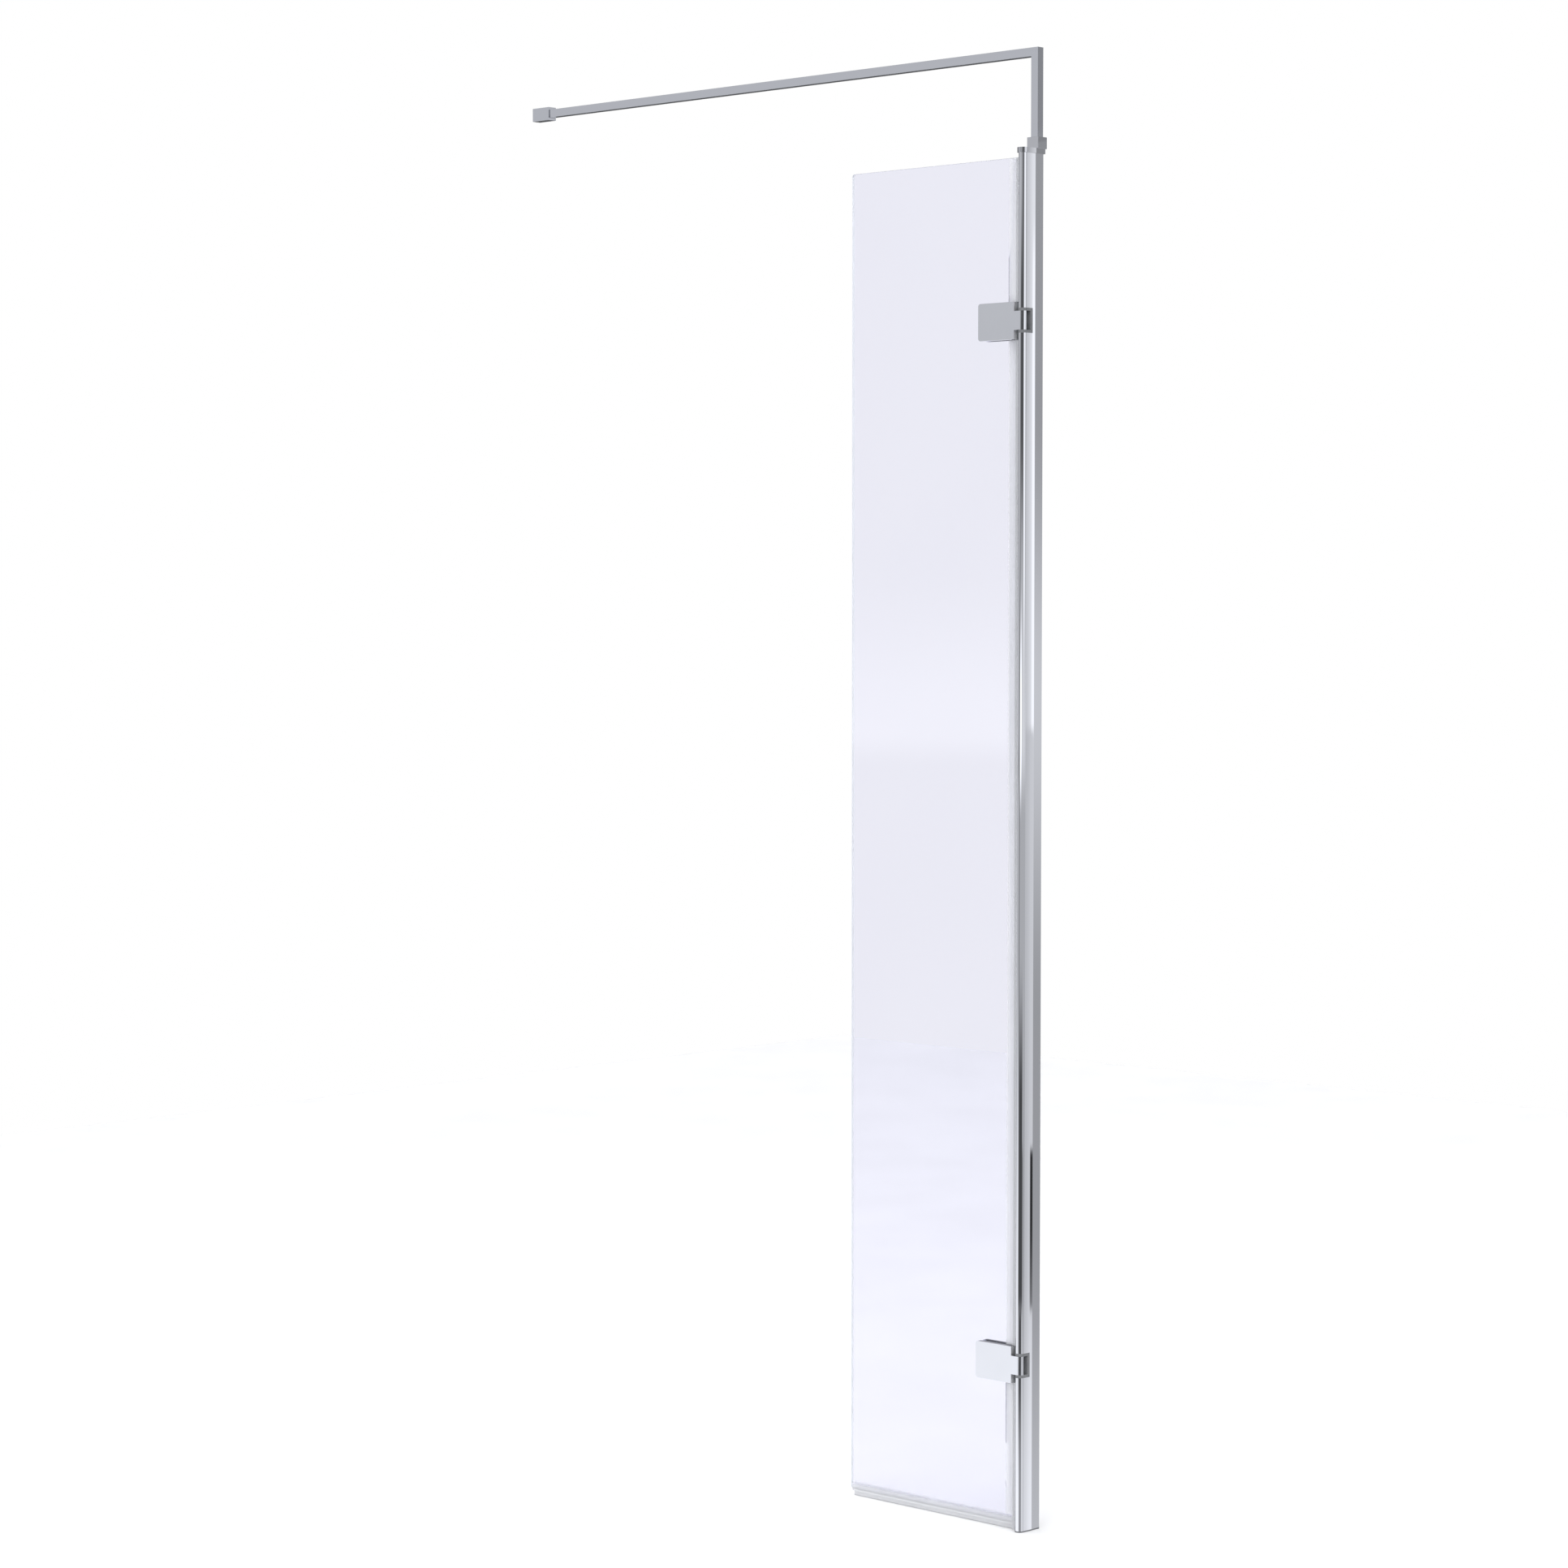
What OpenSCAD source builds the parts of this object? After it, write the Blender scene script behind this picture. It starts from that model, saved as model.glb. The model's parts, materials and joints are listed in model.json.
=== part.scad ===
// Wet room return panel: a narrow glass panel that swings on two clamp hinges from
// a slim post, with a square bracing arm from the top of the post to the wall.
// The hinge axis is the Z axis and the floor is z = 0. The panel lies along -X at rest,
// the arm runs along -X to the wall, and the open back of the post faces +Y.

/* [Glass panel] */
// Height of the glass
glass_h = 1950; // [1400:10:2050]
// Width of the glass
glass_w = 314; // [200:2:500]
// Thickness of the glass
glass_t = 8; // [6:1:10]
// Radius of the glass corners
glass_corner_r = 4; // [2:0.5:10]
// Height of the glass above the floor
floor_gap = 11; // [9:0.5:20]
// Distance from the hinge axis to the edge of the glass
glass_edge_gap = 14.5; // [13:0.5:18]

/* [Post] */
// Radius of the round nose about the hinge axis
nose_r = 6.6; // [6:0.1:8]
// How far each side swells out behind the nose
flare = 1; // [0.5:0.1:2]
// Distance from the hinge axis to where the sides run parallel
flare_len = 18; // [14:0.5:24]
// Distance from the hinge axis to the open back
post_depth = 35; // [34:0.5:45]
// Wall thickness of the extrusion
post_wall = 1.8; // [1.4:0.1:2.2]
// How far the post stands above the glass
post_rise = 5.8; // [2:0.2:30]
// Radius of the thin line where the nose meets the side
crease_r = 0.35; // [0.2:0.05:0.5]
// Thickness of the foot flange
foot_t = 2; // [1:0.5:4]
// Thickness of the top cap
cap_t = 7.2; // [4:0.2:12]
// How far the cap stands out all round
cap_overhang = 2; // [0.5:0.25:3]
// Length of the spigots on the cap and foot
spigot_len = 14; // [8:1:30]

/* [Screen channel] */
// Thickness of the fixed screen that the channel takes
screen_t = 8; // [6:1:10]
// Depth of the channel from the open back
channel_depth = 20; // [16:0.5:20]
// Distance by which the gaskets stop short of the open back
gasket_setback = 0.6; // [0:0.2:2]

/* [Hinges] */
// Distance from each end of the glass to the hinge centre
hinge_inset = 230; // [120:5:400]
// Width of a hinge plate
plate_w = 66.4; // [56:0.4:90]
// Height of a hinge plate
plate_h = 53; // [42:0.5:80]
// Thickness of a hinge plate
plate_t = 7.3; // [6:0.1:9]
// Radius of the free corners of a hinge plate
plate_corner_r = 4; // [1:0.5:8]
// Distance from the hinge axis to the near edge of a plate
plate_gap = 11.1; // [10.5:0.1:12.5]
// Thickness of each glass gasket
pad_t = 1; // [0.5:0.1:2]
// Height of the knuckle
knuckle_h = 26.8; // [20:0.2:34]
// Distance from the hinge axis to the back of the neck
neck_back = 2; // [0:0.2:3]
// Thickness of the plastic collar above and below the knuckle
collar_t = 4.1; // [2:0.1:7]
// Distance from the hinge axis to the back of the liner
liner_depth = 12.8; // [12:0.1:13.5]
// Thickness of the strip at the back of the liner
liner_back_t = 4.3; // [2.5:0.1:4.5]
// Diameter of the pivot pin
pin_d = 6; // [4:0.5:6]
// Wall of the bush round the pin
bush_wall = 1.2; // [1:0.1:1.5]
// Wall of the knuckle round the bush, behind its rounded front
barrel_wall = 0.9; // [0.8:0.1:1.2]
// How far the pin reaches into the post past each collar
pin_grip = 12; // [6:1:30]
// Distance between the two clamp screws
screw_pitch = 30; // [24:1:34]
// Diameter of the clamp screws
screw_d = 6; // [4:0.5:6]
// Diameter of the holes in the glass
glass_hole_d = 12; // [10:0.5:14]

/* [Seals] */
// Wall of the clear seals
seal_wall = 0.9; // [0.6:0.1:1.2]
// Reach of the upright seal over the glass
side_seal_grip = 13.2; // [8:0.2:18]
// Thickness of the web on the glass edge
side_seal_web = 2.6; // [1.5:0.1:2.8]
// Reach of the bottom seal over the glass
drip_grip = 11.2; // [6:0.2:20]
// Gap under the lip of the bottom seal
drip_gap = 0.7; // [0.5:0.1:3]
// Distance by which the bottom seal stops short of the free edge of the glass
drip_end_gap = 3; // [0:0.5:6]

/* [Bracing arm] */
// Width of the square arm
arm_s = 12.2; // [10:0.1:12.6]
// Wall thickness of the square arm
arm_wall = 1.2; // [1:0.1:2]
// Distance from the hinge axis to the wall
arm_reach = 1040.4; // [500:0.2:1200]
// Height of the arm above the top cap
arm_rise = 143; // [80:1:300]
// Distance from the open back of the post to the middle of the arm
arm_inset = 5; // [4:0.5:8]
// Length of each leg of the corner joiner
joiner_len = 28; // [15:1:60]
// Width of the square socket on the cap
socket_w = 20.1; // [19:0.1:24]
// Height of the socket
socket_h = 16.5; // [12:0.5:30]
// Thickness of the socket floor
socket_floor = 3.5; // [3:0.1:6]
// Length of the anchor block inside the top of the post
anchor_h = 20; // [16:1:40]

/* [Wall bracket] */
// Length of the bracket out from the wall
bracket_len = 37.2; // [30:0.2:60]
// Width of the bracket
bracket_w = 15.8; // [15.8:0.1:24]
// Height of the bracket
bracket_h = 20.5; // [18.5:0.1:30]
// Wall of the bracket cover
bracket_wall = 1.6; // [1.2:0.1:1.7]
// Thickness of the block behind the cover
base_len = 12; // [10:0.5:15]
// Diameter of the wall screw hole
wall_hole_d = 4.5; // [3.5:0.1:5]

/* [Clearances] */
// Radial clearance of pins, bushes and screws
pin_gap = 0.05; // [0.02:0.01:0.08]
// Clearance of sliding flat fits
slide_gap = 0.1; // [0.05:0.05:0.2]
// Clearance between pieces that swing past each other
swing_gap = 0.4; // [0.3:0.1:0.8]

/* [Hidden] */
$fn = 64;
eps = 0.5;

// Heights
glass_top = floor_gap + glass_h;
post_top = glass_top + post_rise;
cap_top = post_top + cap_t;
arm_top = cap_top + arm_rise;
lower_z = floor_gap + hinge_inset;
upper_z = glass_top - hinge_inset;

// Post section
side_x = nose_r + flare;
flare_r = (flare_len * flare_len + flare * flare) / (2 * flare);
pin_r = pin_d / 2;
channel_half = side_x - post_wall;
channel_y = post_depth - channel_depth;
gasket_t = channel_half - screen_t / 2;
chamber_half = nose_r - post_wall;
chamber_y0 = pin_r + pin_gap + post_wall;
chamber_y1 = liner_depth - post_wall;

// Hinge stack, front to back
plate_front = -nose_r;
pad_front = plate_front + plate_t;
glass_front = pad_front + pad_t;
glass_back = glass_front + glass_t;
pad_back = glass_back + pad_t;
plate_back = pad_back + plate_t;
plate_x0 = -plate_gap - plate_w;
plate_x1 = -plate_gap;
glass_x1 = -glass_edge_gap;
glass_x0 = glass_x1 - glass_w;
liner_half = knuckle_h / 2 + slide_gap + collar_t;
bush_r = pin_r + pin_gap + bush_wall;
barrel_r = bush_r + pin_gap + barrel_wall;
screw_r = screw_d / 2;
screw_head_r = screw_d;
screw_head_t = screw_d / 2;
screw_skin = 2.4;
screw_x = [for (side = [-1, 1]) (plate_x0 + plate_x1) / 2 + side * screw_pitch / 2];
pad_inset = 1;
seal_end_gap = 0.5;
seal_cut = plate_h / 2 + seal_end_gap;
hex_share = 1 / 3;
screw_floor = 0.6;
screw_socket_r = hex_share * screw_d;
screw_socket_t = screw_head_t - screw_floor;

// Arm
arm_y = post_depth - arm_inset;
arm_half = arm_s / 2;
bore_half = arm_half - arm_wall;
arm_mid_z = arm_top - arm_half;
arm_fit = 0.15;
hole_half = arm_half + arm_fit;
leg_z = cap_top + socket_floor;
anchor_r = 2.5;
anchor_head_r = 4.6;
anchor_head_t = 2.6;
anchor_thread = 15;
anchor_screw_len = socket_floor + cap_t + anchor_thread;
block_setback = 1;
side_screw_r = 2;
side_screw_inset = 5;
side_screw_y = channel_y + side_screw_inset;
side_screw_tip = -1;
tip_room = 1;
side_screw_shares = [0.25, 0.75];
side_screw_z = [for (share = side_screw_shares) post_top - share * anchor_h];
socket_grub_z = leg_z + (socket_h - socket_floor) / 2;
grub_r = 2.5;
small_grub_r = 2;

// Wall bracket
wall_x = -arm_reach;
pocket_half_y = bracket_w / 2 - bracket_wall;
pocket_half_z = bracket_h / 2 - bracket_wall;
pocket_room = 1;
pocket_len = base_len + pocket_room;
bar_end_gap = 2;
bar_start = pocket_len + bar_end_gap;
bar_x0 = wall_x + bar_start;
base_grub_share = 1 / 3;
bracket_grub_x = [base_grub_share * base_len, (bar_start + bracket_len) / 2];
base_grub_depth = 4.4;
wall_head_r = 4.4;
wall_head_t = 4;

// Seals
lip_t = 0.8;
lip_x = nose_r + swing_gap;
drip_top = floor_gap + drip_grip;
drip_web = 2.6;
drip_lip_t = 1.1;
drip_slant = 2.5;

// A rectangle with rounded corners, drawn across X and Z
module soft_rect(x0, x1, z0, z1, r) {
    translate([x0 + r, z0]) square([x1 - x0 - 2 * r, z1 - z0]);
    translate([x0, z0 + r]) square([x1 - x0, z1 - z0 - 2 * r]);
    for (x = [x0 + r, x1 - r], z = [z0 + r, z1 - r]) translate([x, z]) circle(r = r);
}

// Stands a drawing of X and Z upright, from y0 to y1
module slab(y0, y1) {
    translate([0, y1, 0]) rotate([90, 0, 0]) linear_extrude(y1 - y0) children();
}

// A box between two corners
module span(low, high) {
    translate(low) cube(high - low);
}

// A round bar along Y
module rod_y(x, z, r, y0, y1) {
    translate([x, y1, z]) rotate([90, 0, 0]) cylinder(r = r, h = y1 - y0);
}

// A round bar along X
module rod_x(y, z, r, x0, x1) {
    translate([x0, y, z]) rotate([0, 90, 0]) cylinder(r = r, h = x1 - x0);
}

// Outline of the post seen from above, enlarged all round
module post_outline(grow = 0) {
    circle(r = nose_r + grow);
    intersection() {
        translate([side_x + grow - flare_r, flare_len]) circle(r = flare_r, $fn = 720);
        translate([flare_r - side_x - grow, flare_len]) circle(r = flare_r, $fn = 720);
        translate([-side_x - grow, 0]) square([2 * (side_x + grow), flare_len]);
    }
    translate([-side_x - grow, flare_len]) square([2 * (side_x + grow), post_depth + grow - flare_len]);
}

// Outline with the thin crease down each side
module post_section(grow = 0) {
    difference() {
        post_outline(grow);
        for (side = [-1, 1]) translate([side * (nose_r + grow), 0]) circle(r = crease_r);
    }
}

// Post extrusion with its pin bore, front chamber, rear channel and two hinge cut-outs
module post_profile() {
    color("gainsboro") difference() {
        translate([0, 0, foot_t]) linear_extrude(post_top - foot_t) difference() {
            post_section();
            circle(r = pin_r + pin_gap);
            translate([-chamber_half, chamber_y0]) square([2 * chamber_half, chamber_y1 - chamber_y0]);
            translate([-channel_half, channel_y]) square([2 * channel_half, channel_depth + eps]);
        }
        for (z = [lower_z, upper_z])
            span([-side_x - eps, -nose_r - eps, z - liner_half], [side_x + eps, liner_depth, z + liner_half]);
        for (z = side_screw_z) rod_x(side_screw_y, z, side_screw_r + pin_gap, -side_x - eps, -channel_half + eps);
    }
}

// Spigot that plugs the front chamber of the post
module spigot(z0, z1) {
    span([-chamber_half + slide_gap, chamber_y0 + slide_gap, z0],
         [chamber_half - slide_gap, chamber_y1 - slide_gap, z1]);
}

// Cap on the top of the post
module post_top_cap() {
    color("silver") difference() {
        union() {
            translate([0, 0, post_top]) linear_extrude(cap_t) post_section(cap_overhang);
            spigot(post_top - spigot_len, post_top + eps);
        }
        translate([0, arm_y, post_top - eps]) cylinder(r = anchor_r + 2 * pin_gap, h = cap_t + 2 * eps);
    }
}

// Foot that closes the bottom of the post and stands on the floor
module post_foot() {
    color("dimgray") {
        linear_extrude(foot_t) post_section();
        spigot(foot_t - eps, foot_t + spigot_len);
    }
}

// Glazing gasket on one wall of the rear channel
module screen_gasket(side) {
    near = side > 0 ? screen_t / 2 : -channel_half;
    color("lightgray")
        span([near, channel_y, foot_t], [near + gasket_t, post_depth - gasket_setback, post_top - anchor_h]);
}
module screen_gasket_left() { screen_gasket(-1); }
module screen_gasket_right() { screen_gasket(1); }

// Plastic liner of a hinge cut-out: two collars joined by a strip at the back
module hinge_liner() {
    pocket_half = knuckle_h / 2 + slide_gap;
    color("slategray") difference() {
        translate([0, 0, -liner_half]) linear_extrude(2 * liner_half) intersection() {
            post_section();
            translate([-side_x - eps, -nose_r - eps]) square([2 * (side_x + eps), liner_depth + nose_r + eps]);
        }
        span([-side_x - eps, -nose_r - eps, -pocket_half], [side_x + eps, liner_depth - liner_back_t, pocket_half]);
        translate([0, 0, -liner_half - eps]) cylinder(r = pin_r + pin_gap, h = 2 * (liner_half + eps));
    }
}
module lower_hinge_liner() { translate([0, 0, lower_z]) hinge_liner(); }
module upper_hinge_liner() { translate([0, 0, upper_z]) hinge_liner(); }

// Steel pin that the knuckle turns on
module pivot_pin() {
    color("lightsteelblue")
        translate([0, 0, -liner_half - pin_grip]) cylinder(r = pin_r, h = 2 * (liner_half + pin_grip));
}
module lower_pivot_pin() { translate([0, 0, lower_z]) pivot_pin(); }
module upper_pivot_pin() { translate([0, 0, upper_z]) pivot_pin(); }

// Block in the top of the channel that the socket is screwed down to
module arm_anchor_block() {
    block_half = channel_half - slide_gap;
    color("darkgray") difference() {
        span([-block_half, channel_y + slide_gap, post_top - anchor_h],
             [block_half, post_depth - block_setback, post_top]);
        translate([0, arm_y, post_top - anchor_h - eps]) cylinder(r = anchor_r + pin_gap, h = anchor_h + 2 * eps);
        for (z = side_screw_z)
            rod_x(side_screw_y, z, side_screw_r + pin_gap, -block_half - eps, side_screw_tip + tip_room);
    }
}

// Two screws that hold the block through the hidden wall of the post
module anchor_screws() {
    color("lightsteelblue")
        for (z = side_screw_z) rod_x(side_screw_y, z, side_screw_r, -side_x, side_screw_tip);
}

// Square socket on the cap that takes the foot of the arm
module arm_socket() {
    half = socket_w / 2;
    color("silver") difference() {
        span([-half, arm_y - half, cap_top], [half, arm_y + half, cap_top + socket_h]);
        span([-hole_half, arm_y - hole_half, leg_z], [hole_half, arm_y + hole_half, cap_top + socket_h + eps]);
        translate([0, arm_y, cap_top - eps]) cylinder(r = anchor_r + 2 * pin_gap, h = socket_floor + 2 * eps);
        translate([0, arm_y, leg_z - anchor_head_t]) cylinder(r = anchor_head_r + pin_gap, h = anchor_head_t + eps);
        rod_x(arm_y, socket_grub_z, grub_r + pin_gap, -half - eps, -hole_half + eps);
    }
}

// Screw from the socket through the cap into the anchor block
module socket_screw() {
    color("lightsteelblue") translate([0, arm_y, leg_z]) {
        translate([0, 0, -anchor_head_t]) cylinder(r = anchor_head_r, h = anchor_head_t);
        translate([0, 0, -anchor_screw_len]) cylinder(r = anchor_r, h = anchor_screw_len);
    }
}

// Grub screw that locks the arm in the socket, on the side away from the swing of the panel
module socket_grub_screw() {
    color("lightsteelblue") rod_x(arm_y, socket_grub_z, grub_r, -socket_w / 2, -arm_half);
}

// Upright leg of the arm, mitred at the top
module arm_leg() {
    color("silver") difference() {
        slab(arm_y - arm_half, arm_y + arm_half)
            polygon([[-arm_half, leg_z], [arm_half, leg_z], [arm_half, arm_top], [-arm_half, arm_top - arm_s]]);
        slab(arm_y - bore_half, arm_y + bore_half)
            polygon([[-bore_half, leg_z - eps], [bore_half, leg_z - eps], [bore_half, arm_top + eps],
                     [-bore_half, arm_top + eps]]);
    }
}

// Long bar of the arm, mitred at the post end
module arm_bar() {
    low = arm_top - arm_s;
    color("silver") difference() {
        slab(arm_y - arm_half, arm_y + arm_half)
            polygon([[bar_x0, low], [-arm_half, low], [arm_half, arm_top], [bar_x0, arm_top]]);
        slab(arm_y - bore_half, arm_y + bore_half)
            polygon([[bar_x0 - eps, low + arm_wall], [arm_half - arm_wall, low + arm_wall],
                     [arm_half - arm_wall, arm_top - arm_wall], [bar_x0 - eps, arm_top - arm_wall]]);
    }
}

// Corner piece inside the two mitred tubes
module arm_corner_joiner() {
    key = bore_half - slide_gap;
    color("darkgray") slab(arm_y - key, arm_y + key)
        polygon([[key, arm_mid_z + key], [-key - joiner_len, arm_mid_z + key],
                 [-key - joiner_len, arm_mid_z - key], [-key, arm_mid_z - key],
                 [-key, arm_mid_z - key - joiner_len], [key, arm_mid_z - key - joiner_len]]);
}

// Cover of the wall bracket, with a pocket for the base and a square hole for the bar
module wall_bracket_cover() {
    half_y = bracket_w / 2;
    half_z = bracket_h / 2;
    color("silver") translate([wall_x, arm_y, arm_mid_z]) difference() {
        span([0, -half_y, -half_z], [bracket_len, half_y, half_z]);
        span([-eps, -pocket_half_y, -pocket_half_z], [pocket_len, pocket_half_y, pocket_half_z]);
        span([0, -hole_half, -hole_half], [bracket_len + eps, hole_half, hole_half]);
        for (x = bracket_grub_x)
            translate([x, 0, -half_z - eps]) cylinder(r = small_grub_r + pin_gap, h = half_z);
    }
}

// Base of the wall bracket, screwed to the wall
module wall_bracket_base() {
    half_y = pocket_half_y - slide_gap;
    half_z = pocket_half_z - slide_gap;
    color("darkgray") translate([wall_x, arm_y, arm_mid_z]) difference() {
        span([0, -half_y, -half_z], [base_len, half_y, half_z]);
        rod_x(0, 0, wall_hole_d / 2, -eps, base_len + eps);
        rod_x(0, 0, wall_head_r, base_len - wall_head_t, base_len + eps);
        translate([bracket_grub_x[0], 0, -half_z - eps])
            cylinder(r = small_grub_r + pin_gap, h = base_grub_depth + eps);
    }
}

// Two grub screws under the bracket: one holds the cover to the base, one holds the bar
module bracket_grub_screws() {
    lengths = [bracket_wall + slide_gap + base_grub_depth, bracket_h / 2 - arm_half];
    color("lightsteelblue") for (i = [0, 1])
        translate([wall_x + bracket_grub_x[i], arm_y, arm_mid_z - bracket_h / 2])
            cylinder(r = small_grub_r, h = lengths[i]);
}

// Glass with rounded corners and a pair of holes at each hinge
module glass_panel() {
    color("lavender", 0.5) slab(glass_front, glass_back) difference() {
        soft_rect(glass_x0, glass_x1, floor_gap, glass_top, glass_corner_r);
        for (x = screw_x, z = [lower_z, upper_z]) translate([x, z]) circle(r = glass_hole_d / 2);
    }
}

// Outline of a hinge plate: free corners rounded, edge next to the post square
module plate_outline(inset = 0, x1 = plate_x1) {
    half = plate_h / 2 - inset;
    soft_rect(plate_x0 + inset, x1, -half, half, plate_corner_r);
    translate([plate_x0 + plate_w / 2, -half]) square([x1 - plate_x0 - plate_w / 2, 2 * half]);
}

// Outline of the knuckle: a front that continues the nose of the post, and a slimmer barrel behind
module knuckle_outline() {
    circle(r = barrel_r);
    intersection() {
        circle(r = nose_r);
        translate([-nose_r, -nose_r]) square([2 * nose_r, nose_r]);
    }
}

// Front plate, neck and knuckle of a hinge in one casting
module hinge_leaf() {
    half = knuckle_h / 2;
    color("silver") difference() {
        union() {
            slab(plate_front, pad_front) plate_outline();
            span([plate_x1 - eps, plate_front, -half], [plate_x1 + eps, pad_front, half]);
            span([plate_x1, plate_front, -half], [0, neck_back, half]);
            translate([0, 0, -half]) linear_extrude(knuckle_h) knuckle_outline();
        }
        translate([0, 0, -half - eps]) cylinder(r = bush_r + pin_gap, h = knuckle_h + 2 * eps);
        for (x = screw_x) rod_y(x, 0, screw_r + pin_gap, plate_front + screw_skin, pad_front + eps);
    }
}
module lower_hinge_leaf() { translate([0, 0, lower_z]) hinge_leaf(); }
module upper_hinge_leaf() { translate([0, 0, upper_z]) hinge_leaf(); }

// Back plate of a hinge, drilled and counterbored for the clamp screws
module back_plate() {
    color("silver") difference() {
        slab(pad_back, plate_back) plate_outline();
        for (x = screw_x) {
            rod_y(x, 0, screw_r + pin_gap, pad_back - eps, plate_back + eps);
            rod_y(x, 0, screw_head_r + pin_gap, plate_back - screw_head_t, plate_back + eps);
        }
    }
}
module lower_back_plate() { translate([0, 0, lower_z]) back_plate(); }
module upper_back_plate() { translate([0, 0, upper_z]) back_plate(); }

// Soft pad between a hinge plate and the glass
module glass_pad(y0) {
    color("whitesmoke") slab(y0, y0 + pad_t) difference() {
        plate_outline(pad_inset, glass_x1);
        for (x = screw_x) translate([x, 0]) circle(r = screw_r + 2 * pin_gap);
    }
}
module lower_front_pad() { translate([0, 0, lower_z]) glass_pad(pad_front); }
module upper_front_pad() { translate([0, 0, upper_z]) glass_pad(pad_front); }
module lower_back_pad() { translate([0, 0, lower_z]) glass_pad(glass_back); }
module upper_back_pad() { translate([0, 0, upper_z]) glass_pad(glass_back); }

// Plastic bush between the knuckle and the pin
module knuckle_bush() {
    color("white") translate([0, 0, -knuckle_h / 2]) difference() {
        cylinder(r = bush_r, h = knuckle_h);
        translate([0, 0, -eps]) cylinder(r = pin_r + pin_gap, h = knuckle_h + 2 * eps);
    }
}
module lower_knuckle_bush() { translate([0, 0, lower_z]) knuckle_bush(); }
module upper_knuckle_bush() { translate([0, 0, upper_z]) knuckle_bush(); }

// Two countersunk screws that clamp the glass between the plates
module clamp_screws() {
    color("lightsteelblue") for (x = screw_x) difference() {
        union() {
            rod_y(x, 0, screw_r, plate_front + screw_skin + slide_gap, plate_back);
            rod_y(x, 0, screw_head_r, plate_back - screw_head_t, plate_back);
        }
        translate([x, plate_back + eps, 0]) rotate([90, 0, 0])
            cylinder(r = screw_socket_r, h = screw_socket_t + eps, $fn = 6);
    }
}
module lower_clamp_screws() { translate([0, 0, lower_z]) clamp_screws(); }
module upper_clamp_screws() { translate([0, 0, upper_z]) clamp_screws(); }

// Plastic sleeves round the screws where they pass through the glass
module glass_sleeves() {
    color("white") for (x = screw_x) difference() {
        rod_y(x, 0, glass_hole_d / 2 - slide_gap, glass_front, glass_back);
        rod_y(x, 0, screw_r + 2 * pin_gap, glass_front - eps, glass_back + eps);
    }
}
module lower_glass_sleeves() { translate([0, 0, lower_z]) glass_sleeves(); }
module upper_glass_sleeves() { translate([0, 0, upper_z]) glass_sleeves(); }

// Upright clear seal: a channel on the glass edge and a curved lip towards the nose
module side_seal(z0, z1) {
    color("aliceblue", 0.6) translate([0, 0, z0]) linear_extrude(z1 - z0) {
        difference() {
            translate([glass_x1 - side_seal_grip, glass_front - seal_wall])
                square([side_seal_grip + side_seal_web, glass_t + 2 * seal_wall]);
            translate([glass_x1 - side_seal_grip - eps, glass_front]) square([side_seal_grip + eps, glass_t]);
        }
        side_lip();
    }
}

// Lip of the upright seal, which ends next to the nose
module side_lip() {
    lip_root = glass_x1 + side_seal_web;
    polygon([[lip_root - eps, glass_front - seal_wall], [-lip_x, -lip_t / 2],
             [-lip_x, lip_t / 2], [lip_root - eps, glass_front]]);
}

// Web and lip of the upright seal alone, beside the end of the bottom seal
module seal_tail(z0, z1) {
    color("aliceblue", 0.6) translate([0, 0, z0]) linear_extrude(z1 - z0) {
        translate([glass_x1, glass_front - seal_wall]) square([side_seal_web, glass_t + 2 * seal_wall]);
        side_lip();
    }
}

module bottom_side_seal() {
    channel_z = drip_top + swing_gap;
    union() {
        side_seal(channel_z, lower_z - seal_cut);
        seal_tail(drip_gap, channel_z + eps);
    }
}
module middle_side_seal() { side_seal(lower_z + seal_cut, upper_z - seal_cut); }
module top_side_seal() { side_seal(upper_z + seal_cut, glass_top); }

// Clear seal along the bottom of the glass, with an upright lip in the middle and a slanted one behind
module drip_seal() {
    y0 = glass_front - seal_wall;
    y1 = glass_back + seal_wall;
    lip_y = (y0 + y1 - drip_lip_t) / 2;
    web_z = floor_gap - drip_web;
    drip_len = glass_w - drip_end_gap - slide_gap;
    color("aliceblue", 0.6) translate([glass_x0 + drip_end_gap, 0, 0]) rotate([90, 0, 90]) linear_extrude(drip_len) {
        difference() {
            translate([y0, web_z]) square([y1 - y0, drip_top - web_z]);
            translate([glass_front, floor_gap]) square([glass_t, drip_grip + eps]);
        }
        translate([lip_y, drip_gap]) square([drip_lip_t, web_z - drip_gap + eps]);
        polygon([[y1 - drip_slant - drip_lip_t, drip_gap + drip_slant], [y1 - drip_slant, drip_gap + drip_slant],
                 [y1, web_z + eps], [y1 - drip_lip_t, web_z + eps]]);
    }
}

post_profile();
post_top_cap();
post_foot();
screen_gasket_left();
screen_gasket_right();
lower_hinge_liner();
upper_hinge_liner();
lower_pivot_pin();
upper_pivot_pin();
arm_anchor_block();
anchor_screws();
arm_socket();
socket_screw();
socket_grub_screw();
arm_leg();
arm_bar();
arm_corner_joiner();
wall_bracket_cover();
wall_bracket_base();
bracket_grub_screws();
glass_panel();
lower_hinge_leaf();
upper_hinge_leaf();
lower_back_plate();
upper_back_plate();
lower_front_pad();
upper_front_pad();
lower_back_pad();
upper_back_pad();
lower_knuckle_bush();
upper_knuckle_bush();
lower_clamp_screws();
upper_clamp_screws();
lower_glass_sleeves();
upper_glass_sleeves();
bottom_side_seal();
middle_side_seal();
top_side_seal();
drip_seal();
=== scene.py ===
import json
import math

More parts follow.
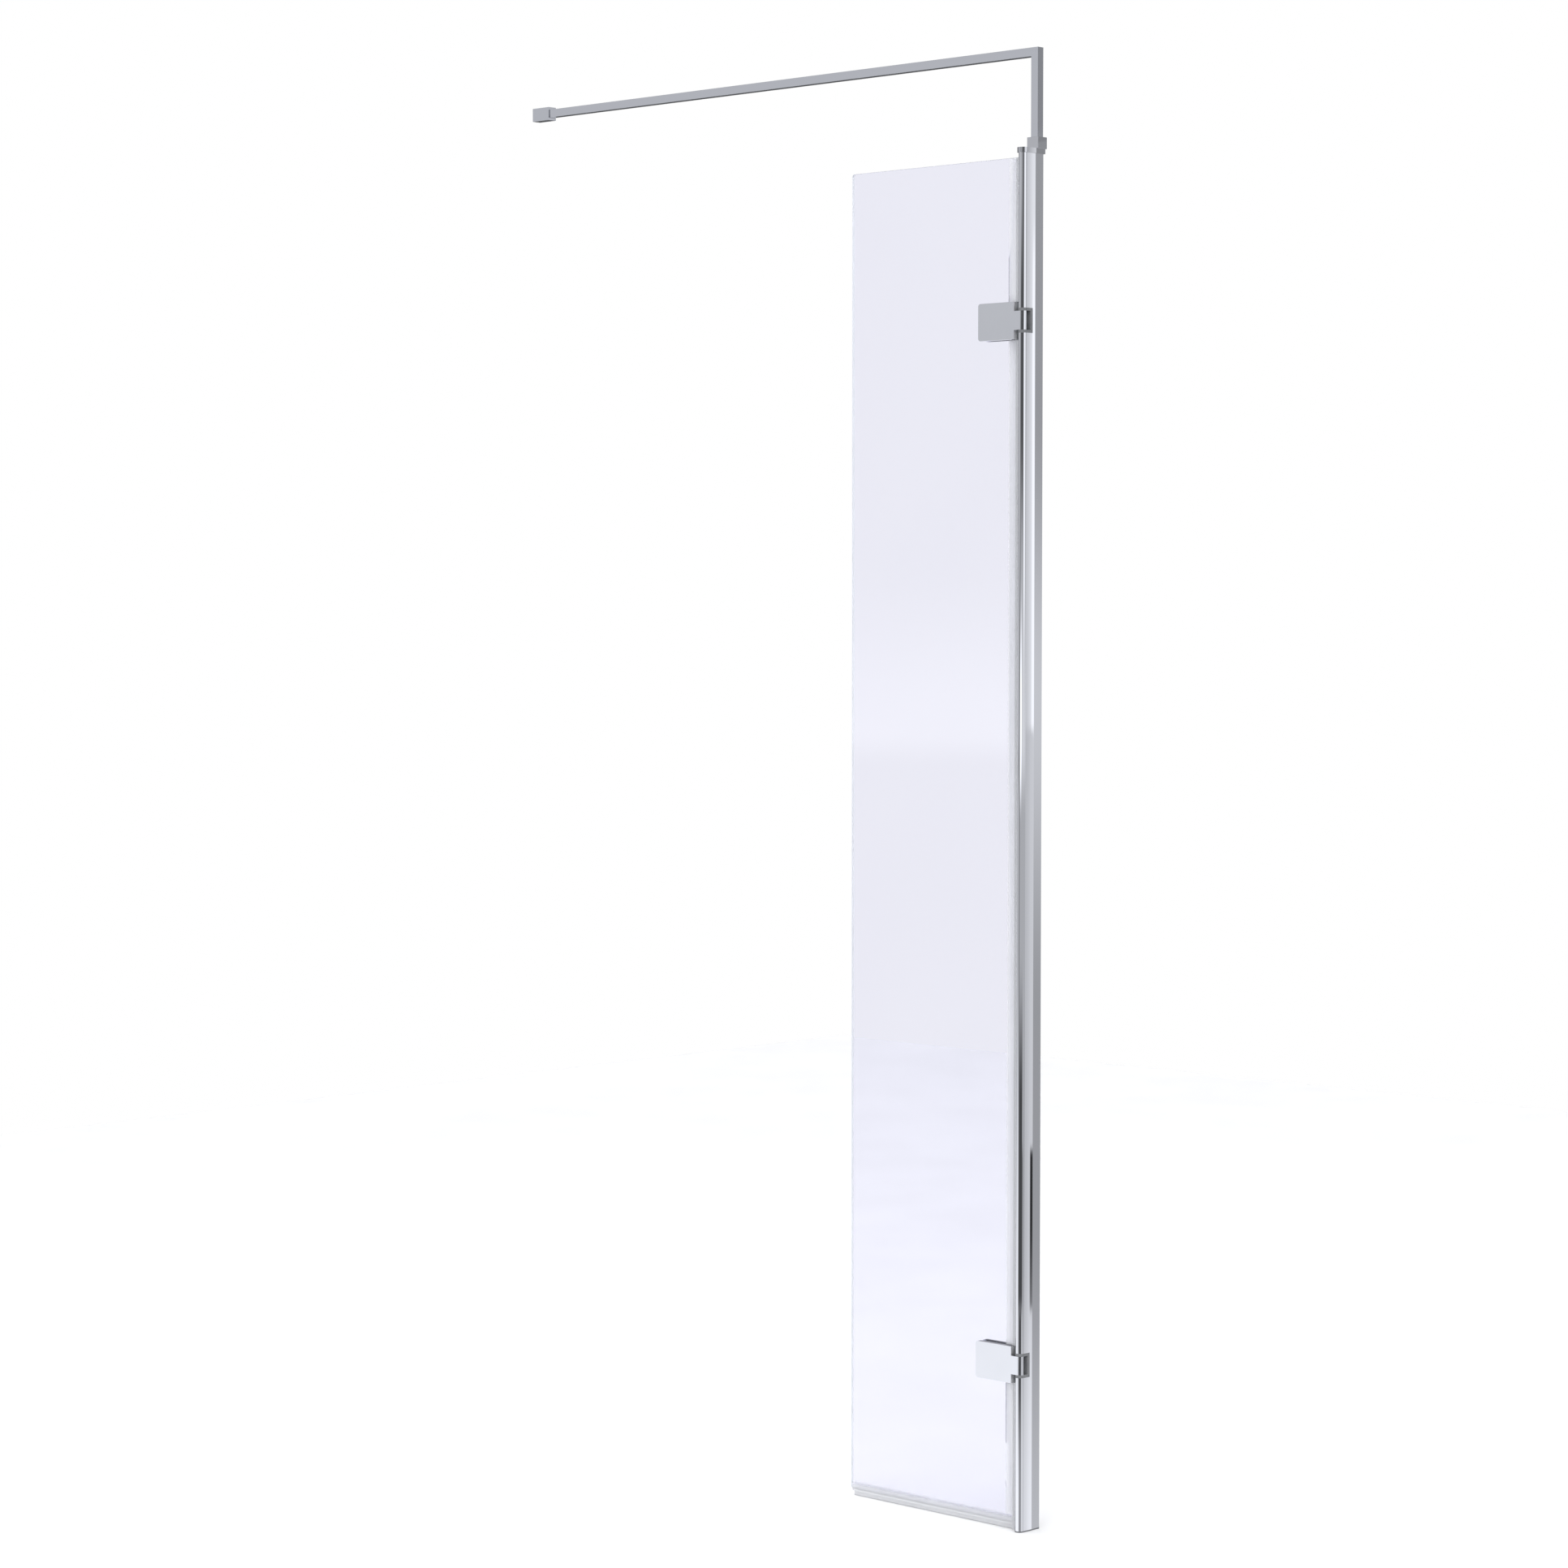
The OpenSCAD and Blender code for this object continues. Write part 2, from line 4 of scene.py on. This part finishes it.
import bpy
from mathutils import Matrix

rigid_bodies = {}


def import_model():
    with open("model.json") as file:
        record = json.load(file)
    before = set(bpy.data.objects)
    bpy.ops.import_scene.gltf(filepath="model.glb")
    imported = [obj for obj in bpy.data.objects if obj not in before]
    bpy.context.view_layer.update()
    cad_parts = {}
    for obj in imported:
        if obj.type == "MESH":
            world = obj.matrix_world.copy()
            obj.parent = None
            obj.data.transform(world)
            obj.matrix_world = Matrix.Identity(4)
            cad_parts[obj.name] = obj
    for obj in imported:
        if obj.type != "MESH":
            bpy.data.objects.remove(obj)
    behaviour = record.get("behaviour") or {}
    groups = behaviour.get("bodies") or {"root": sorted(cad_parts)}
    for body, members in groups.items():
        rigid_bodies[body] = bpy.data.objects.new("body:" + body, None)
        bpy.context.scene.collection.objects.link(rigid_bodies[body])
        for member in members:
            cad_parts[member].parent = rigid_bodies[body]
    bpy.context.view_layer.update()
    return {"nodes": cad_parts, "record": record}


MM = 0.001
HALF_TURN = 180.0
BLACK = (0, 0, 0, 1)
WHITE = (1, 1, 1, 1)

# Sockets of the Mix node: share, first and second value, and its output, for colours and numbers
COLOUR_MIX = (0, 6, 7)
COLOUR_OUT = 2
NUMBER_MIX = (0, 2, 3)
NUMBER_OUT = 0

# Camera, solved from the photo's straight edges: metres, radians, and millimetres of lens
CAMERA_PLACE = (3.51676, -4.19918, 1.33)
CAMERA_TURN = 0.7589
CAMERA_DOWN = 0.0467
CAMERA_LENS = 88.35
CAMERA_REACH = 60
SENSOR = 36.0
GLOSSY_BOUNCES = 10

# Studio that the chrome reflects: panels on a sphere round the object, over an even level. Each
# panel has its azimuth, half its width, how soft its first and last side are, its lowest and
# highest elevation, how soft these are, all in degrees, and its level. Later panels cover
# earlier ones.
STUDIO_LEVEL = 0.5
STUDIO_TINT = (0.97, 0.985, 1.03, 1)
PANELS = {
    "left_wall": (-134, 17, 9, 9, -90, 90, 1, 1, 0.63),
    "far_left_flag": (-166, 13, 7, 6, 0, 90, 2, 1, 0.3),
    "back_wall": (134, 27, 8, 10, -90, 90, 1, 1, 0.22),
    "back_low": (134, 27, 8, 10, -9, -6.4, 0.4, 0.4, 0.12),
    "camera_side": (-33, 9, 5, 8, 1.4, 40, 1.4, 8, 0.34),
    "camera_wall": (-74, 34, 22, 7, 1.6, 5.4, 1.2, 1, 0.12),
    "camera_flag": (-53, 12, 8, 7, 1.6, 6.95, 1.2, 0.1, 0.05),
    "front_box": (1, 19, 10, 10, -1, 50, 1.5, 8, 1.2),
    "left_slot": (-103, 10, 8, 8, -7, 1.6, 2, 1.5, 0.18),
    "right_box": (45, 4.6, 9, 0.15, -1.9, 50, 0.15, 8, 0.98),
    "right_edge": (48.2, 1.4, 0.8, 0.15, -1.9, 5.4, 0.15, 0.5, 1.2),
    "right_box_high": (42, 8, 6, 4, 6.95, 90, 0.1, 1, 0.6),
    "right_low": (45, 4.6, 9, 0.15, -90, -1.9, 0.15, 0.15, 0.74),
    "right_wall": (75, 25.4, 0.15, 10, -90, 90, 1, 1, 0.39),
    "right_high": (75, 25.4, 0.15, 10, 6.9, 90, 0.15, 1, 0.33),
    "right_glow": (75, 25.4, 0.15, 10, -3.8, 0.8, 2.4, 2.4, 0.7),
    "horizon_glow": (-22, 55, 8, 8, -2.6, -0.6, 0.6, 1.2, 0.8),
    "horizon_spot": (-74, 18, 3, 8, -2.7, -0.6, 0.6, 1.2, 1.7),
    "left_glow": (-131.4, 2.4, 0.8, 0.8, -2.17, -0.5, 0.28, 1.3, 1.8),
    "left_dark": (-121, 7, 1.5, 2, -2.6, -0.4, 0.4, 1.2, 0.05),
    "low_flag": (-53, 44, 10, 12, -10.43, -6.2, 0.2, 1.2, 0.075),
    "low_flag_end": (-4, 9, 4, 6, -10.43, -8.08, 0.2, 0.2, 0.09),
    "low_slit": (48.2, 1.4, 0.8, 0.15, -10.43, -8.08, 0.1, 0.1, 0.03),
    "low_left_box": (-134, 31, 10, 9, -90, -8, 1, 3, 1.08),
    "floor_left": (-112, 36, 12, 14, -90, -12.2, 1, 1.2, 1.2),
    "floor_front": (-38, 17, 8, 10, -90, -12.0, 1, 0.8, 0.3),
    "front_slot": (-52, 27, 12, 8, -12.2, -10.43, 0.8, 0.2, 0.06),
    "floor_right": (12, 26, 8, 8, -90, -11.4, 1, 1.4, 0.82),
    "floor_box": (45, 4.6, 9, 0.15, -90, -11.4, 1, 2.4, 1.05),
    "floor_wall": (75, 25.4, 0.15, 10, -90, -11.6, 1, 2.4, 0.6),
}

# Floor and lights: metres, strength, degrees of spread, and radians of turn
FLOOR_SIDE = 9.0
OVERHEAD_LIGHT = 1.85
OVERHEAD_SPREAD = 80
FRONT_LIGHT = 1.2
FRONT_SPREAD = 60
FRONT_TURN = (1.15, 0, 0.5)
POOL_LIGHT = 30
POOL_HEIGHT = 4.0
POOL_SIDE = 2.5

# Pattern of every finish: a cloud of two colours, a finer one of gloss, and a fine grain
CLOUD_RANGE = (0.3, 0.7)
CLOUD_DETAIL = 3.0
FINE_TIMES = 4
FINE_DETAIL = 2.0
NOISE_ROUGHNESS = 0.55

# Finishes by material slot or node: two colours, stretch and scale of the pattern, range of the
# roughness, and height in metres and scale of the grain
EVEN = (1, 1, 1)
ALONG_X = (0.02, 1, 1)
ALONG_Z = (1, 1, 0.02)
FINISHES = {
    "post_chrome": dict(
        name="post_chrome_plate", dark=(0.785, 0.79, 0.815), light=(0.8, 0.805, 0.83),
        stretch=ALONG_Z, scale=30, rough=(0.015, 0.03), Metallic=1.0,
    ),
    "chrome": dict(
        name="hinge_chrome_plate", dark=(0.76, 0.77, 0.8), light=(0.775, 0.785, 0.815),
        stretch=EVEN, scale=18, rough=(0.02, 0.05), Metallic=1.0,
    ),
    "arm_chrome": dict(
        name="arm_chrome_plate", dark=(0.7, 0.71, 0.745), light=(0.715, 0.725, 0.76),
        stretch=ALONG_X, scale=22, rough=(0.015, 0.03), Metallic=1.0,
    ),
    "post_top_cap": dict(
        name="cap_chrome_plate", dark=(0.6, 0.605, 0.625), light=(0.615, 0.62, 0.64),
        stretch=EVEN, scale=18, rough=(0.015, 0.03), Metallic=1.0,
    ),
    "arm_socket": dict(
        name="socket_chrome_plate", dark=(0.665, 0.67, 0.695), light=(0.68, 0.685, 0.71),
        stretch=EVEN, scale=18, rough=(0.015, 0.03), Metallic=1.0,
    ),
    "steel": dict(
        name="turned_steel", dark=(0.55, 0.56, 0.58), light=(0.64, 0.65, 0.67),
        stretch=(1, 6, 1), scale=90, rough=(0.2, 0.34), grain=0.00001, grain_scale=900,
        Metallic=1.0,
    ),
    "aluminium": dict(
        name="milled_aluminium", dark=(0.62, 0.62, 0.64), light=(0.72, 0.72, 0.74),
        stretch=(1, 1, 8), scale=60, rough=(0.3, 0.45), grain=0.00001, grain_scale=900,
        Metallic=1.0,
    ),
    "grey_plastic": dict(
        name="grey_moulding", dark=(0.15, 0.154, 0.162), light=(0.18, 0.184, 0.192),
        stretch=EVEN, scale=60, rough=(0.32, 0.46), grain=0.00003, grain_scale=2600,
    ),
    "white_plastic": dict(
        name="white_moulding", dark=(0.84, 0.84, 0.82), light=(0.9, 0.9, 0.88),
        stretch=EVEN, scale=60, rough=(0.3, 0.42), grain=0.00002, grain_scale=2200,
    ),
    "gasket": dict(
        name="gasket_rubber", dark=(0.42, 0.43, 0.45), light=(0.5, 0.51, 0.53),
        stretch=ALONG_Z, scale=90, rough=(0.55, 0.7), grain=0.00003, grain_scale=1800,
    ),
    "pad": dict(
        name="pad_rubber", dark=(0.16, 0.165, 0.175), light=(0.2, 0.205, 0.215),
        stretch=EVEN, scale=90, rough=(0.5, 0.65), grain=0.00003, grain_scale=2400,
    ),
    "glass": dict(
        name="safety_glass", dark=(0.832, 0.832, 0.922), light=(0.842, 0.842, 0.93),
        stretch=EVEN, scale=3, rough=(0.0, 0.01), IOR=1.5,
    ),
    "clear_seal": dict(
        name="side_seal_vinyl", dark=(0.71, 0.715, 0.735), light=(0.75, 0.755, 0.775),
        stretch=EVEN, scale=8, rough=(0.18, 0.24), IOR=1.45,
    ),
    "floor": dict(
        name="pale_floor", dark=(0.87, 0.87, 0.87), light=(0.9, 0.9, 0.9),
        stretch=EVEN, scale=2, rough=(0.6, 0.7),
    ),
}
FINISHES["drip_seal"] = dict(FINISHES["clear_seal"], name="drip_seal_vinyl")

# Hinge plates: satin on the upright edges left of the knuckle, which painted light turns white, and
# painted shade on top of the front plates.
# The sides are ranges in millimetres, and the turn is a range of the face's own direction.
EDGE_TURN = (0.6, 0.9)
# Painted light: white colour on the upright edges left of the knuckle, brighter than the chrome,
# which lightens them
PAINTED_EDGE_LIGHT = WHITE
EDGE_ROUGH = 0.8
EDGE_SIDE = (-10.9, -10.3)
# Painted shade: dark colour on the top faces of the front plates
PAINTED_TOP_SHADE = (0.15, 0.155, 0.17, 1)
TOP_SIDE = (1.0, 1.6)

# Ground rim of the glass
RIM_TURN = (0.35, 0.8)
RIM_COLOUR = (0.82, 0.87, 0.88, 1)
RIM_ROUGH = 0.3
RIM_CLEAR = 0.35

# Clear seals, in millimetres along one axis: bands where the section is seen end on, with how
# dense each one looks, and the free edge, over which the seal thins out
SEAL_DENSE = (0.37, 0.375, 0.395, 1)
SEAL_ALPHA = (0.5, 0.85)
SEAL_SOFT = 0.5
SEAL_THIN = 0.15
SIDE_SEAL_BANDS = [(-13.9, -9.0, 0.5)]
SIDE_SEAL_EDGE = (-27.7, -23.7)
DRIP_SEAL_BANDS = [(10.4, 12.8, 0.6), (1.6, 8.4, 0.3), (-1.0, 1.6, 1.0)]
DRIP_SEAL_EDGE = (21.6, 16.0)

# Rounding of the edges in millimetres, above an angle in degrees
ROUNDED = {
    "arm_bar": 0.12,
    "arm_leg": 0.12,
    "arm_socket": 0.4,
    "post_top_cap": 0.4,
    "wall_bracket_cover": 0.4,
    "glass_panel": 0.8,
    "lower_hinge_leaf": 0.5,
    "upper_hinge_leaf": 0.5,
    "lower_back_plate": 0.5,
    "upper_back_plate": 0.5,
    "lower_hinge_liner": 0.15,
    "upper_hinge_liner": 0.15,
    "lower_clamp_screws": 0.2,
    "upper_clamp_screws": 0.2,
    "post_foot": 0.2,
    "drip_seal": 0.15,
}
ROUND_ABOVE = 40
ROUND_STEPS = 3
SMOOTH_BELOW = 35
WELD_BELOW = 0.002
FLAT_WEIGHT = 80


class Graph:
    """Builds a node tree from sockets and plain values."""

    def __init__(self, tree, keep=False):
        self.tree = tree
        if not keep:
            tree.nodes.clear()

    def add(self, kind, **settings):
        node = self.tree.nodes.new(kind)
        for key, value in settings.items():
            setattr(node, key, value)
        return node

    def put(self, socket, value):
        if isinstance(value, bpy.types.NodeSocket):
            self.tree.links.new(value, socket)
        else:
            socket.default_value = value

    def math(self, operation, *values):
        node = self.add("ShaderNodeMath", operation=operation)
        for socket, value in zip(node.inputs, values):
            self.put(socket, value)
        return node.outputs[0]

    def ramp(self, value, low, high, start=0.0, end=1.0):
        """start where value is low, end where it is high."""
        node = self.add("ShaderNodeMapRange", interpolation_type="SMOOTHSTEP")
        for socket, item in zip(node.inputs, (value, low, high, start, end)):
            self.put(socket, item)
        return node.outputs[0]

    def mix(self, share, a, b):
        """Colour a where share is 0 and b where it is 1."""
        node = self.add("ShaderNodeMix", data_type="RGBA")
        for index, item in zip(COLOUR_MIX, (share, a, b)):
            self.put(node.inputs[index], item)
        return node.outputs[COLOUR_OUT]

    def blend(self, share, a, b):
        """Number a where share is 0 and b where it is 1."""
        node = self.add("ShaderNodeMix", data_type="FLOAT")
        for index, item in zip(NUMBER_MIX, (share, a, b)):
            self.put(node.inputs[index], item)
        return node.outputs[NUMBER_OUT]

    def noise(self, place, scale, detail):
        node = self.add("ShaderNodeTexNoise")
        self.put(node.inputs["Vector"], place)
        self.put(node.inputs["Scale"], scale)
        self.put(node.inputs["Detail"], detail)
        self.put(node.inputs["Roughness"], NOISE_ROUGHNESS)
        return node.outputs["Fac"]

    def parts(self, output):
        """Place or direction as three numbers."""
        node = self.add("ShaderNodeSeparateXYZ")
        self.put(node.inputs[0], self.add("ShaderNodeTexCoord").outputs[output])
        return node.outputs

    def along(self, axis):
        """Object position along one axis, in millimetres."""
        return self.math("DIVIDE", self.parts("Object")[axis], MM)

    def band(self, value, low, high, low_soft, high_soft):
        """1 between low and high and 0 outside."""
        up = self.ramp(value, low - low_soft, low + low_soft)
        down = self.ramp(value, high - high_soft, high + high_soft, 1.0, 0.0)
        return self.math("MULTIPLY", up, down)

    def stretched(self, stretch):
        """Object position, stretched along the grain."""
        node = self.add("ShaderNodeMapping")
        self.put(node.inputs["Vector"], self.add("ShaderNodeTexCoord").outputs["Object"])
        self.put(node.inputs["Scale"], stretch)
        return node.outputs["Vector"]


def make_studio():
    """Soft boxes and dark flags round the object, white where the camera looks past it."""
    world = bpy.data.worlds.new("studio")
    bpy.context.scene.world = world
    world.use_nodes = True
    graph = Graph(world.node_tree)
    x, y, z = graph.parts("Generated")
    azimuth = graph.math("DEGREES", graph.math("ARCTAN2", y, x))
    elevation = graph.math("DEGREES", graph.math("ARCSINE", z))
    level = STUDIO_LEVEL
    for panel in PANELS.values():
        centre, half, near, far, low, high, low_soft, high_soft, bright = panel
        off = graph.math("WRAP", graph.math("SUBTRACT", azimuth, centre), HALF_TURN, -HALF_TURN)
        inside = graph.band(off, -half, half, near, far)
        between = graph.band(elevation, low, high, low_soft, high_soft)
        level = graph.blend(graph.math("MULTIPLY", inside, between), level, bright)
    tinted = graph.mix(level, BLACK, STUDIO_TINT)
    tinted.node.clamp_factor = False
    studio = graph.add("ShaderNodeBackground")
    graph.put(studio.inputs["Color"], tinted)
    backdrop = graph.add("ShaderNodeBackground")
    graph.put(backdrop.inputs["Color"], WHITE)
    path = graph.add("ShaderNodeLightPath")
    seen = graph.math("MAXIMUM", path.outputs["Is Camera Ray"], path.outputs["Is Transmission Ray"])
    chosen = graph.add("ShaderNodeMixShader")
    graph.put(chosen.inputs[0], seen)
    graph.put(chosen.inputs[1], studio.outputs[0])
    graph.put(chosen.inputs[2], backdrop.outputs[0])
    graph.put(graph.add("ShaderNodeOutputWorld").inputs["Surface"], chosen.outputs[0])


def make_material(
    name, dark, light, stretch, scale, rough, grain=0.0, grain_scale=0.0, **values
):
    """A Principled material whose colour, gloss and surface vary a little with place."""
    material = bpy.data.materials.new(name)
    material.use_nodes = True
    graph = Graph(material.node_tree)
    shader = graph.add("ShaderNodeBsdfPrincipled")
    graph.put(graph.add("ShaderNodeOutputMaterial").inputs["Surface"], shader.outputs[0])
    place = graph.stretched(stretch)
    cloud = graph.ramp(graph.noise(place, scale, CLOUD_DETAIL), *CLOUD_RANGE)
    graph.put(shader.inputs["Base Color"], graph.mix(cloud, (*dark, 1), (*light, 1)))
    fine = graph.noise(place, scale * FINE_TIMES, FINE_DETAIL)
    graph.put(shader.inputs["Roughness"], graph.ramp(fine, *CLOUD_RANGE, *rough))
    if grain:
        bump = graph.add("ShaderNodeBump")
        graph.put(bump.inputs["Distance"], grain)
        graph.put(bump.inputs["Strength"], 1.0)
        graph.put(bump.inputs["Height"], graph.noise(place, grain_scale, FINE_DETAIL))
        graph.put(shader.inputs["Normal"], bump.outputs[0])
    for socket, value in values.items():
        shader.inputs[socket].default_value = value
    return material


def reopen(material):
    """Graph, shader and the outputs that set colour and roughness, to build on a finish."""
    shader = next(n for n in material.node_tree.nodes if n.type == "BSDF_PRINCIPLED")
    colour, gloss = (
        shader.inputs[name].links[0].from_socket for name in ("Base Color", "Roughness")
    )
    return Graph(material.node_tree, keep=True), shader, colour, gloss


def grind_rim(material):
    """Clear safety glass with a ground rim, which scatters a little light."""
    graph, shader, colour, gloss = reopen(material)
    across = graph.math("ABSOLUTE", graph.parts("Normal")[1])
    rim = graph.ramp(across, *RIM_TURN, 1.0, 0.0)
    graph.put(shader.inputs["Base Color"], graph.mix(rim, colour, RIM_COLOUR))
    graph.put(shader.inputs["Roughness"], graph.blend(rim, gloss, RIM_ROUGH))
    graph.put(shader.inputs["Transmission Weight"], graph.ramp(rim, 0.0, 1.0, 1.0, RIM_CLEAR))


def satin_edges_painted_light_and_shade(material):
    """Chrome that is polished on the broad faces, satin with painted light on upright edges, and
    painted shade on top.
    """
    graph, shader, colour, gloss = reopen(material)
    normal = graph.parts("Normal")
    aside = graph.math("ABSOLUTE", normal[0])
    outside = graph.ramp(graph.along(0), *EDGE_SIDE, 1.0, 0.0)
    # Mask of the upright edges, for their satin roughness and their painted light
    satin_and_edge_light = graph.math("MULTIPLY", graph.ramp(aside, *EDGE_TURN), outside)
    front = graph.ramp(graph.along(1), *TOP_SIDE, 1.0, 0.0)
    # Mask of the top faces of the front plates, for their painted shade
    shaded_top = graph.math("MULTIPLY", graph.ramp(normal[2], *EDGE_TURN), front)
    colour = graph.mix(shaded_top, graph.mix(satin_and_edge_light, colour, PAINTED_EDGE_LIGHT), PAINTED_TOP_SHADE)
    graph.put(shader.inputs["Roughness"], graph.blend(satin_and_edge_light, gloss, EDGE_ROUGH))
    graph.put(shader.inputs["Base Color"], colour)


def thin_seal(material, axis, bands, edge):
    """Clear vinyl that thins out at its free edge and is denser where it is seen end on."""
    graph, shader, colour, _ = reopen(material)
    value = graph.along(axis)
    dense = 0.0
    for low, high, share in bands:
        band = graph.math("MULTIPLY", graph.band(value, low, high, SEAL_SOFT, SEAL_SOFT), share)
        dense = graph.math("MAXIMUM", dense, band)
    thin = graph.ramp(value, *edge, SEAL_THIN, 1.0)
    alpha = graph.math("MULTIPLY", thin, graph.blend(dense, *SEAL_ALPHA))
    graph.put(shader.inputs["Base Color"], graph.mix(dense, colour, SEAL_DENSE))
    graph.put(shader.inputs["Alpha"], alpha)


def make_materials():
    materials = {key: make_material(**finish) for key, finish in FINISHES.items()}
    satin_edges_painted_light_and_shade(materials["chrome"])
    grind_rim(materials["glass"])
    thin_seal(materials["clear_seal"], 0, SIDE_SEAL_BANDS, SIDE_SEAL_EDGE)
    thin_seal(materials["drip_seal"], 2, DRIP_SEAL_BANDS, DRIP_SEAL_EDGE)
    return materials


def make_group(name):
    """An empty geometry group, with its way in and its way out."""
    group = bpy.data.node_groups.new(name, "GeometryNodeTree")
    for side in ("INPUT", "OUTPUT"):
        group.interface.new_socket("Geometry", in_out=side, socket_type="NodeSocketGeometry")
    graph = Graph(group)
    start = graph.add("NodeGroupInput").outputs[0]
    end = graph.add("NodeGroupOutput").inputs[0]
    return graph, start, end


def make_plain_group():
    """Takes the imported normals off, before the edges are rounded."""
    graph, start, end = make_group("own_normals")
    drop = graph.add("GeometryNodeRemoveAttribute")
    graph.put(drop.inputs["Geometry"], start)
    graph.put(drop.inputs["Name"], "custom_normal")
    graph.put(end, drop.outputs[0])
    return graph.tree


def make_shading_group():
    """Flat faces stay flat and curved ones smooth after the edges are rounded."""
    graph, start, end = make_group("face_shading")
    faces = graph.add("GeometryNodeSetShadeSmooth", domain="FACE")
    graph.put(faces.inputs["Geometry"], start)
    graph.put(faces.inputs["Shade Smooth"], True)
    small = graph.add("FunctionNodeCompare", operation="LESS_THAN")
    graph.put(small.inputs[0], graph.add("GeometryNodeInputMeshEdgeAngle").outputs[0])
    graph.put(small.inputs[1], math.radians(SMOOTH_BELOW))
    edges = graph.add("GeometryNodeSetShadeSmooth", domain="EDGE")
    graph.put(edges.inputs["Geometry"], faces.outputs[0])
    graph.put(edges.inputs["Shade Smooth"], small.outputs[0])
    graph.put(end, edges.outputs[0])
    return graph.tree


def round_edges(nodes):
    plain, shading = make_plain_group(), make_shading_group()
    for name, width in ROUNDED.items():
        modifiers = nodes[name].modifiers
        modifiers.new("own_normals", "NODES").node_group = plain
        weld = modifiers.new("weld", "WELD")
        weld.merge_threshold = WELD_BELOW * MM
        bevel = modifiers.new("rounding", "BEVEL")
        bevel.width = width * MM
        bevel.segments = ROUND_STEPS
        bevel.limit_method = "ANGLE"
        bevel.angle_limit = math.radians(ROUND_ABOVE)
        modifiers.new("face_shading", "NODES").node_group = shading
        even = modifiers.new("even_normals", "WEIGHTED_NORMAL")
        even.keep_sharp = True
        even.weight = FLAT_WEIGHT


def dress(nodes, slot_of, materials):
    for name, piece in nodes.items():
        piece.material_slots[0].material = materials.get(name) or materials[slot_of[name]]
        if slot_of[name] in ("glass", "clear_seal"):
            piece.visible_shadow = False


def add_object(name, data):
    piece = bpy.data.objects.new(name, data)
    bpy.context.scene.collection.objects.link(piece)
    return piece


def make_floor(material):
    half = FLOOR_SIDE / 2
    corners = [(-half, -half, 0), (half, -half, 0), (half, half, 0), (-half, half, 0)]
    mesh = bpy.data.meshes.new("floor")
    mesh.from_pydata(corners, [], [(0, 1, 2, 3)])
    mesh.materials.append(material)
    floor = add_object("floor", mesh)
    floor.visible_glossy = False


def make_light(name, kind, energy, **settings):
    """A light that the chrome doesn't mirror."""
    data = bpy.data.lights.new(name, kind)
    data.energy = energy
    for key, value in settings.items():
        setattr(data, key, value)
    lamp = add_object(name, data)
    lamp.visible_glossy = False
    return lamp


def make_lights():
    make_light("overhead", "SUN", OVERHEAD_LIGHT, angle=math.radians(OVERHEAD_SPREAD))
    front = make_light("front", "SUN", FRONT_LIGHT, angle=math.radians(FRONT_SPREAD))
    front.rotation_euler = FRONT_TURN
    pool = make_light("pool", "AREA", POOL_LIGHT, size=POOL_SIDE)
    pool.location = (0, 0, POOL_HEIGHT)


def make_camera():
    data = bpy.data.cameras.new("photo_camera")
    data.sensor_width = SENSOR
    data.lens = CAMERA_LENS
    data.clip_end = CAMERA_REACH
    camera = add_object("photo_camera", data)
    camera.location = CAMERA_PLACE
    camera.rotation_euler = (math.pi / 2 - CAMERA_DOWN, 0, CAMERA_TURN)
    bpy.context.scene.camera = camera


for old in list(bpy.data.objects):
    bpy.data.objects.remove(old)
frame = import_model()
scene = bpy.context.scene
scene.view_settings.view_transform = "Standard"
scene.cycles.glossy_bounces = GLOSSY_BOUNCES
materials = make_materials()
slot_of = {row["node"]: row["material_slot"] for row in frame["record"]["subparts"]}
make_camera()
make_studio()
make_floor(materials["floor"])
make_lights()
dress(frame["nodes"], slot_of, materials)
round_edges(frame["nodes"])
